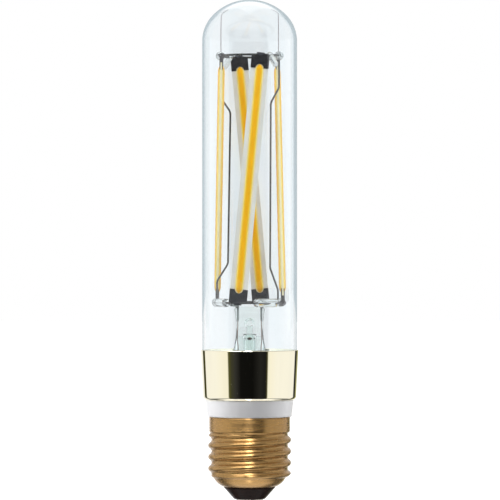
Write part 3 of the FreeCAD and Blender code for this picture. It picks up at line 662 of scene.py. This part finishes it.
def filament_frame(index):
    """Local X across the strip, Y outward and Z up along it, from the lower ring.

    The strips stand at quarter turns from the front.
    """
    middle = -90 + 90 * index
    foot = ring_point(LOWER_RING_RADIUS, middle + LOWER_TURN, LOWER_RING_Z)
    head = ring_point(UPPER_RING_RADIUS, middle + UPPER_TURN, UPPER_RING_Z)
    length = (head - foot).length
    along = (head - foot).normalized()
    outward = ring_point(1, middle, 0)
    outward = (outward - along * outward.dot(along)).normalized()
    across = outward.cross(along)
    place = Matrix((across, outward, along)).transposed().to_4x4()
    place.translation = foot
    return place, length


def bead_section(half, height, steps):
    """(across, out) points over the bead, from one edge of its foot to the other."""
    radius = (half ** 2 + height ** 2) / (2 * height)
    reach = math.degrees(math.asin(min(1.0, half / radius)))
    if height > half:
        reach = 180 - reach
    return arc((0, height - radius), radius, 90 + reach, 90 - reach, steps)


def make_bead(side, index, face, materials):
    """Phosphor bead on one face of a strip, swelling a little over each chip."""
    place, length = filament_frame(index)
    start = CLIP_LENGTH - PHOSPHOR_OVERLAP
    end = length - start
    rows = CHIP_COUNT * BEAD_ROWS_PER_CHIP
    steps = BEAD_STEPS
    first = CLIP_LENGTH + CHIP_START
    pitch = (length - 2 * first) / (CHIP_COUNT - 1)
    points = []
    thin = []
    for row in range(rows + 1):
        at = start + (end - start) * row / rows
        to_end = min(at - start, end - at)
        share = math.sin(min(1.0, to_end / BEAD_TAPER) * math.pi / 2) ** BEAD_END_POWER
        half = max(BEAD_LEAST, PHOSPHOR_WIDTH / 2 * share)
        swell = 0.5 + 0.5 * math.cos(2 * math.pi * (at - first) / pitch)
        height = max(BEAD_LEAST, (PHOSPHOR_HEIGHT - BEAD_DIP + BEAD_SWELL * swell) * share)
        for x, y in bead_section(half, height, steps):
            lift = STRIP_THICKNESS / 2 + max(0.0, y)
            points.append(place @ Vector((x * face, lift * face, at)))
            thin.append(min(1.0, abs(x) / (PHOSPHOR_WIDTH / 2)) ** BEAD_THIN_POWER)
    faces = []
    width = steps + 1
    for row in range(rows):
        low = row * width
        high = low + width
        for step in range(steps):
            faces.append((low + step, low + step + 1, high + step + 1, high + step))
        faces.append((low + steps, low, high, high + steps))
    faces.append(tuple(range(width)))
    faces.append(tuple(rows * width + step for step in range(width)))
    which = "outer" if face > 0 else "inner"
    bead = make_piece("bead_" + which + "_" + side, points, faces, BEAD_SHARP_ANGLE)
    attribute = bead.data.attributes.new("thin", "FLOAT", "POINT")
    attribute.data.foreach_set("value", thin)
    stand_for(bead, "phosphor_" + which + "_" + side, "phosphor", materials)


# Dressing of the nodes that keep their CAD shape

def dress_nodes(frame, materials):
    """Gives each CAD node its own material, or else that of its slot."""
    slots = {part["node"]: part["material_slot"] for part in frame["record"]["subparts"]}
    for index, side in enumerate(SIDES):
        materials["ceramic_strip_" + side] = ceramic("strip_ceramic_" + side, index)
    for side in ("left", "right"):
        materials["seal_lead_" + side] = materials["seal_wire"]
        materials["lower_bridge_" + side] = materials["bridge_glass"]
    for name, node in frame["nodes"].items():
        node.data.materials.clear()
        node.data.materials.append(materials.get(name) or materials[slots[name]])
        smooth(node.data, NODE_SHARP_ANGLE)


# Room, floor and camera

class Room:
    """The world's node tree: soft walls of light, and what each kind of ray sees of them."""

    def __init__(self, tree):
        self.tree = tree
        self.path = tree.nodes.new("ShaderNodeLightPath").outputs
        place = tree.nodes.new("ShaderNodeTexCoord")
        split = tree.nodes.new("ShaderNodeSeparateXYZ")
        tree.links.new(place.outputs["Generated"], split.inputs[0])
        to_front = self.math("MULTIPLY", split.outputs["Y"], -1.0)
        turn = self.math("ARCTAN2", split.outputs["X"], to_front)
        lift = self.math("ARCSINE", split.outputs["Z"], 0)
        to_degrees = 180 / math.pi
        self.azimuth = self.math("MULTIPLY", turn, to_degrees)
        self.elevation = self.math("MULTIPLY", lift, to_degrees)

    def math(self, operation, first, second):
        return math_node(self.tree, operation, first, second)

    def step(self, value, start, end):
        """0 before start and 1 after end, or the other way round, with a soft border."""
        node = self.tree.nodes.new("ShaderNodeMapRange")
        node.interpolation_type = "SMOOTHSTEP"
        node.inputs["From Min"].default_value = min(start, end)
        node.inputs["From Max"].default_value = max(start, end)
        node.inputs["To Min"].default_value = float(start > end)
        node.inputs["To Max"].default_value = float(start < end)
        self.tree.links.new(value, node.inputs["Value"])
        return node.outputs["Result"]

    def band(self, value, start, end, soft):
        """1 between start and end, with a soft border at both."""
        rise = self.step(value, start - soft, start + soft)
        return self.math("MULTIPLY", rise, self.step(value, end + soft, end - soft))

    def counted(self, kind, count):
        """1 for a ray that has met this kind of surface so many times."""
        return self.band(self.path[kind + " Depth"], count - 0.5, count + 0.5, 0.25)

    def pick(self, choice, on, off):
        """One of two colours, by a choice of 1 or 0."""
        node = self.tree.nodes.new("ShaderNodeMix")
        node.data_type = "RGBA"
        self.tree.links.new(choice, node.inputs["Factor"])
        for slot, value in ((node.inputs[6], off), (node.inputs[7], on)):
            if isinstance(value, float):
                slot.default_value = (value, value, value, 1.0)
            else:
                self.tree.links.new(value, slot)
        return node.outputs[2]

    def walls(self, stops):
        """Colour of the walls by azimuth."""
        share = self.math("ADD", self.math("DIVIDE", self.azimuth, 360.0), 0.5)
        node = self.tree.nodes.new("ShaderNodeValToRGB")
        colors = [level if isinstance(level, tuple) else (level,) * 3 for degrees, level in stops]
        places = [degrees / 360 + 0.5 for degrees, level in stops]
        set_stops(node, zip(places, colors))
        self.tree.links.new(share, node.inputs["Fac"])
        return node.outputs["Color"]

    def for_metal(self):
        """Walls with a dull ceiling low over them, and the lamps and dark bands."""
        above = self.step(self.elevation, *METAL_CEILING_BORDER)
        shade = self.pick(above, METAL_CEILING, self.walls(METAL_WALLS))
        for left, right, low, high, level in METAL_LAMPS:
            across = self.band(self.azimuth, left, right, LAMP_AZIMUTH_SOFTNESS)
            upward = self.band(self.elevation, low, high, LAMP_ELEVATION_SOFTNESS)
            shade = self.pick(self.math("MULTIPLY", across, upward), level, shade)
        return shade

    def for_glass(self):
        """The walls, closed above and below by a white ceiling and table."""
        height = self.math("ABSOLUTE", self.elevation, 0)
        closed = self.step(height, *GLASS_CEILING_BORDER)
        return self.pick(closed, GLASS_CEILING, self.walls(GLASS_WALLS))

    def for_edge(self):
        """The grey of the tube's edge, which thins out over the dome."""
        above = self.step(self.elevation, *GLASS_CEILING_BORDER)
        behind = self.step(self.math("ABSOLUTE", self.azimuth, 0), *BEHIND_BORDER)
        pale = self.math("MULTIPLY", above, behind)
        return self.pick(pale, GLASS_CEILING, self.walls(EDGE_WALLS))

    def seen(self):
        """Colour of the room for the ray that arrives.

        A ray through the wall of the tube that turned back once inside it is at its edge.
        """
        once = {}
        for kind in ("Diffuse", "Glossy", "Transmission"):
            once[kind] = self.math("GREATER_THAN", self.path[kind + " Depth"], 0.5)
        clear = self.math("MAXIMUM", once["Transmission"], self.path["Is Singular Ray"])
        mirrored = self.pick(clear, self.for_glass(), self.for_metal())
        in_and_out = self.counted("Transmission", 2)
        turned_once = self.counted("Glossy", 1)
        at_edge = self.math("MULTIPLY", in_and_out, turned_once)
        mirrored = self.pick(at_edge, self.for_edge(), mirrored)
        straight = self.pick(once["Transmission"], BACKDROP_LEVEL, 1.0)
        sharp = self.pick(once["Glossy"], mirrored, straight)
        matt = self.pick(once["Transmission"], INSIDE_LEVEL, self.walls(MATT_WALLS))
        return self.pick(once["Diffuse"], matt, sharp)


def math_node(tree, operation, first, second):
    node = tree.nodes.new("ShaderNodeMath")
    node.operation = operation
    for slot, value in zip(node.inputs, (first, second)):
        if isinstance(value, (int, float)):
            slot.default_value = value
        else:
            tree.links.new(value, slot)
    return node.outputs[0]


def make_world():
    """A room of light, which metal, glass and matt surfaces see each in their own way."""
    world = bpy.data.worlds.new("room")
    bpy.context.scene.world = world
    world.use_nodes = True
    world.cycles.sampling_method = "NONE"
    background = world.node_tree.nodes["Background"]
    room = Room(world.node_tree)
    world.node_tree.links.new(room.seen(), background.inputs["Color"])
    background.inputs["Strength"].default_value = 1.0


def make_floor():
    """A plain pale floor that keeps a faint shadow, and is clear from below."""
    corners = ((-1, -1), (1, -1), (1, 1), (-1, 1))
    points = [(FLOOR_REACH * x, FLOOR_REACH * y, FLOOR_Z) for x, y in corners]
    floor = make_piece("floor", points, [(0, 1, 2, 3)])
    shader = Shader("floor_white")
    tree = shader.material.node_tree
    shader.set(Roughness=0.9)
    shader.surface.inputs["Specular IOR Level"].default_value = 0.0
    shader.surface.inputs["Emission Color"].default_value = (1.0, 1.0, 1.0, 1.0)
    path = tree.nodes.new("ShaderNodeLightPath")
    through_glass = path.outputs["Is Transmission Ray"]
    not_through = math_node(tree, "SUBTRACT", 1.0, through_glass)
    matt = math_node(tree, "MULTIPLY", not_through, FLOOR_COLOR)
    tree.links.new(matt, shader.surface.inputs["Base Color"])
    behind_glass = math_node(tree, "MULTIPLY", through_glass, BACKDROP_LEVEL)
    for_camera = math_node(tree, "MULTIPLY", path.outputs["Is Camera Ray"], FLOOR_GLOW)
    glow = math_node(tree, "ADD", behind_glass, for_camera)
    tree.links.new(glow, shader.surface.inputs["Emission Strength"])
    side = tree.nodes.new("ShaderNodeNewGeometry")
    seen_up = math_node(tree, "SUBTRACT", 1.0, side.outputs["Backfacing"])
    tree.links.new(seen_up, shader.surface.inputs["Alpha"])
    floor.data.materials.append(shader.material)
    floor.visible_glossy = False


def make_camera():
    """A level camera in front, placed so that the lamp fills the frame as in the photograph."""
    data = bpy.data.cameras.new("camera")
    pixels_per_mm = 1 / MM_PER_PIXEL
    focal_pixels = CAMERA_DISTANCE * pixels_per_mm
    data.lens = focal_pixels * SENSOR_WIDTH / FRAME_PIXELS
    data.sensor_width = SENSOR_WIDTH
    centre = FRAME_PIXELS / 2
    aim_z = (GROUND_ROW - centre) * MM_PER_PIXEL
    aim_x = (centre - AXIS_COLUMN) * MM_PER_PIXEL
    camera = bpy.data.objects.new("camera", data)
    camera.location = Vector((aim_x, -CAMERA_DISTANCE, aim_z)) * MM
    camera.rotation_euler = (math.radians(90), 0, 0)
    data.clip_start = 0.05
    bpy.context.scene.collection.objects.link(camera)
    bpy.context.scene.camera = camera


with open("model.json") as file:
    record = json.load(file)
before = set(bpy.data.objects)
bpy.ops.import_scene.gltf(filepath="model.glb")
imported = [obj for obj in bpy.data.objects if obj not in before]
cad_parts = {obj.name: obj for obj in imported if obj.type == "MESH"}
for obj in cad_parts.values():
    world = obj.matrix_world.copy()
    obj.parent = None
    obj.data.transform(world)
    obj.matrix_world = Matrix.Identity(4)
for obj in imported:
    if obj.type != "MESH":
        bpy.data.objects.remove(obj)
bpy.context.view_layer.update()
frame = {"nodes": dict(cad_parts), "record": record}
bpy.context.scene.view_settings.view_transform = "Standard"
make_camera()
make_world()
make_floor()
materials = make_materials()
dress_nodes(frame, materials)
make_tube(materials)
make_collar(materials)
make_neck_ring(materials)
make_shell(materials)
make_insulator(materials)
for index, side in enumerate(SIDES):
    make_bead(side, index, 1, materials)
    make_bead(side, index, -1, materials)
